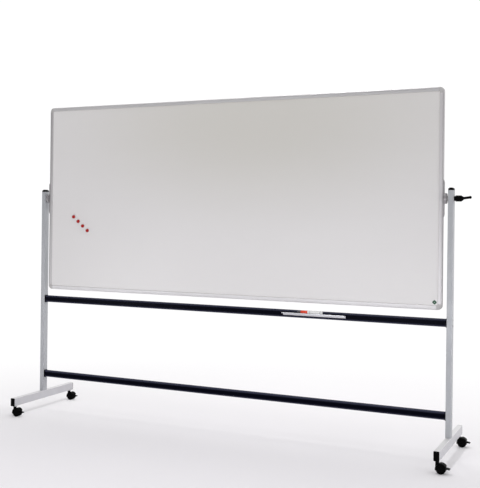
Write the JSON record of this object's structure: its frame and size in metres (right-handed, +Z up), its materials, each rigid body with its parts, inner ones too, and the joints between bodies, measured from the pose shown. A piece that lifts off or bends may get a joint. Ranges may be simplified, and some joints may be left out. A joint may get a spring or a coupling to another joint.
{
  "type": "rolling whiteboard",
  "caption": "Revolving whiteboard in an aluminium frame, pivoted between posts with a clamp lever, on a wheeled stand with crossbars, pen tray, marker and round magnets.",
  "frame": {"origin": "on the floor, midway between the posts and midway between the front and rear casters", "axes": "+X along the board towards the clamp lever, +Y from the front writing side to the back, +Z up"},
  "size_m": [2.8008, 0.62, 1.994],
  "materials": {
    "writing_surface": "gloss",
    "frame_aluminium": "satin",
    "corner_plastic": "satin",
    "board_core": "matte",
    "pivot_steel": "satin",
    "bush_nylon": "satin",
    "silver_paint": "satin",
    "black_paint": "satin",
    "black_plastic": "satin",
    "wheel_black": "satin",
    "zinc_steel": "satin",
    "tray_aluminium": "satin",
    "marker_white": "gloss",
    "marker_red": "gloss",
    "marker_dark": "satin",
    "magnet_red": "gloss",
    "sticker": "satin"
  },
  "bodies": {
    "stand": {"left_post": "silver_paint", "right_post": "silver_paint", "post_top_caps": "black_plastic", "left_foot": "silver_paint", "right_foot": "silver_paint", "foot_end_caps": "black_plastic", "post_base_plugs": "zinc_steel", "post_base_bolts": "zinc_steel", "upper_crossbar": "black_paint", "lower_crossbar": "black_paint", "crossbar_end_plugs": "black_plastic", "crossbar_screws": "zinc_steel", "left_pivot_bush": "bush_nylon", "right_pivot_bush": "bush_nylon", "pen_tray": "tray_aluminium", "caster_stems": "zinc_steel"},
    "board": {"board_core": "board_core", "front_writing_sheet": "writing_surface", "back_writing_sheet": "writing_surface", "frame_top_rail": "frame_aluminium", "frame_bottom_rail": "frame_aluminium", "frame_left_rail": "frame_aluminium", "frame_right_rail": "frame_aluminium", "frame_corners": "corner_plastic", "corner_sticker": "sticker", "left_pivot_plate": "pivot_steel", "right_pivot_plate": "pivot_steel", "left_pivot_hub": "pivot_steel", "right_pivot_hub": "pivot_steel", "pivot_plate_screws": "zinc_steel"},
    "clamp": {"clamp_lever": "black_plastic", "clamp_insert": "zinc_steel"},
    "marker": {"marker_barrel": "marker_white"},
    "marker_top": {"marker_cap": "marker_red", "marker_cap_tip": "marker_dark"},
    "magnet_1": {"red_magnet_1": "magnet_red"},
    "magnet_2": {"red_magnet_2": "magnet_red"},
    "magnet_3": {"red_magnet_3": "magnet_red"},
    "magnet_4": {"red_magnet_4": "magnet_red"},
    "front_left_caster": {"front_left_caster_hood": "black_plastic", "front_left_caster_axle": "zinc_steel"},
    "front_left_front_wheel": {"front_left_caster_front_wheel": "wheel_black"},
    "front_left_back_wheel": {"front_left_caster_back_wheel": "wheel_black"},
    "front_left_pedal": {"front_left_caster_pedal": "black_plastic"},
    "front_right_caster": {"front_right_caster_hood": "black_plastic", "front_right_caster_axle": "zinc_steel"},
    "front_right_front_wheel": {"front_right_caster_front_wheel": "wheel_black"},
    "front_right_back_wheel": {"front_right_caster_back_wheel": "wheel_black"},
    "front_right_pedal": {"front_right_caster_pedal": "black_plastic"},
    "rear_left_caster": {"rear_left_caster_hood": "black_plastic", "rear_left_caster_axle": "zinc_steel"},
    "rear_left_front_wheel": {"rear_left_caster_front_wheel": "wheel_black"},
    "rear_left_back_wheel": {"rear_left_caster_back_wheel": "wheel_black"},
    "rear_left_pedal": {"rear_left_caster_pedal": "black_plastic"},
    "rear_right_caster": {"rear_right_caster_hood": "black_plastic", "rear_right_caster_axle": "zinc_steel"},
    "rear_right_front_wheel": {"rear_right_caster_front_wheel": "wheel_black"},
    "rear_right_back_wheel": {"rear_right_caster_back_wheel": "wheel_black"},
    "rear_right_pedal": {"rear_right_caster_pedal": "black_plastic"}
  },
  "joints": [
    {"name": "board_turn", "type": "hinge", "parent": "stand", "child": "board", "pos_m": [0, 0, 1.394], "axis": [1, 0, 0], "continuous": true},
    {"name": "clamp_turn", "type": "hinge", "parent": "stand", "child": "clamp", "pos_m": [1.375, 0, 1.394], "axis": [1, 0, 0], "range_deg": [0, 180]},
    {"name": "marker_lift", "type": "slide", "parent": "stand", "child": "marker", "axis": [0, 0, 1], "range_m": [0, 0.035]},
    {"name": "marker_cap_pull", "type": "slide", "parent": "marker", "child": "marker_top", "axis": [-1, 0, 0], "range_m": [0, 0.03]},
    {"name": "magnet_1_pull", "type": "slide", "parent": "board", "child": "magnet_1", "axis": [0, -1, 0], "range_m": [0, 0.03]},
    {"name": "magnet_2_pull", "type": "slide", "parent": "board", "child": "magnet_2", "axis": [0, -1, 0], "range_m": [0, 0.03]},
    {"name": "magnet_3_pull", "type": "slide", "parent": "board", "child": "magnet_3", "axis": [0, -1, 0], "range_m": [0, 0.03]},
    {"name": "magnet_4_pull", "type": "slide", "parent": "board", "child": "magnet_4", "axis": [0, -1, 0], "range_m": [0, 0.03]},
    {"name": "front_left_swivel", "type": "hinge", "parent": "stand", "child": "front_left_caster", "pos_m": [-1.341, -0.285, 0.05], "axis": [0, 0, 1], "continuous": true},
    {"name": "front_left_front_roll", "type": "hinge", "parent": "front_left_caster", "child": "front_left_front_wheel", "pos_m": [-1.321, -0.285, 0.025], "axis": [0, 1, 0], "continuous": true},
    {"name": "front_left_back_roll", "type": "hinge", "parent": "front_left_caster", "child": "front_left_back_wheel", "pos_m": [-1.321, -0.285, 0.025], "axis": [0, 1, 0], "continuous": true},
    {"name": "front_left_brake", "type": "hinge", "parent": "front_left_caster", "child": "front_left_pedal", "pos_m": [-1.3024, -0.285, 0.029], "axis": [0, -1, 0], "range_deg": [0, 20]},
    {"name": "front_right_swivel", "type": "hinge", "parent": "stand", "child": "front_right_caster", "pos_m": [1.341, -0.285, 0.05], "axis": [0, 0, 1], "continuous": true},
    {"name": "front_right_front_roll", "type": "hinge", "parent": "front_right_caster", "child": "front_right_front_wheel", "pos_m": [1.361, -0.285, 0.025], "axis": [0, 1, 0], "continuous": true},
    {"name": "front_right_back_roll", "type": "hinge", "parent": "front_right_caster", "child": "front_right_back_wheel", "pos_m": [1.361, -0.285, 0.025], "axis": [0, 1, 0], "continuous": true},
    {"name": "front_right_brake", "type": "hinge", "parent": "front_right_caster", "child": "front_right_pedal", "pos_m": [1.3796, -0.285, 0.029], "axis": [0, -1, 0], "range_deg": [0, 20]},
    {"name": "rear_left_swivel", "type": "hinge", "parent": "stand", "child": "rear_left_caster", "pos_m": [-1.341, 0.285, 0.05], "axis": [0, 0, 1], "continuous": true},
    {"name": "rear_left_front_roll", "type": "hinge", "parent": "rear_left_caster", "child": "rear_left_front_wheel", "pos_m": [-1.321, 0.285, 0.025], "axis": [0, 1, 0], "continuous": true},
    {"name": "rear_left_back_roll", "type": "hinge", "parent": "rear_left_caster", "child": "rear_left_back_wheel", "pos_m": [-1.321, 0.285, 0.025], "axis": [0, 1, 0], "continuous": true},
    {"name": "rear_left_brake", "type": "hinge", "parent": "rear_left_caster", "child": "rear_left_pedal", "pos_m": [-1.3024, 0.285, 0.029], "axis": [0, -1, 0], "range_deg": [0, 20]},
    {"name": "rear_right_swivel", "type": "hinge", "parent": "stand", "child": "rear_right_caster", "pos_m": [1.341, 0.285, 0.05], "axis": [0, 0, 1], "continuous": true},
    {"name": "rear_right_front_roll", "type": "hinge", "parent": "rear_right_caster", "child": "rear_right_front_wheel", "pos_m": [1.361, 0.285, 0.025], "axis": [0, 1, 0], "continuous": true},
    {"name": "rear_right_back_roll", "type": "hinge", "parent": "rear_right_caster", "child": "rear_right_back_wheel", "pos_m": [1.361, 0.285, 0.025], "axis": [0, 1, 0], "continuous": true},
    {"name": "rear_right_brake", "type": "hinge", "parent": "rear_right_caster", "child": "rear_right_pedal", "pos_m": [1.3796, 0.285, 0.029], "axis": [0, -1, 0], "range_deg": [0, 20]}
  ]
}
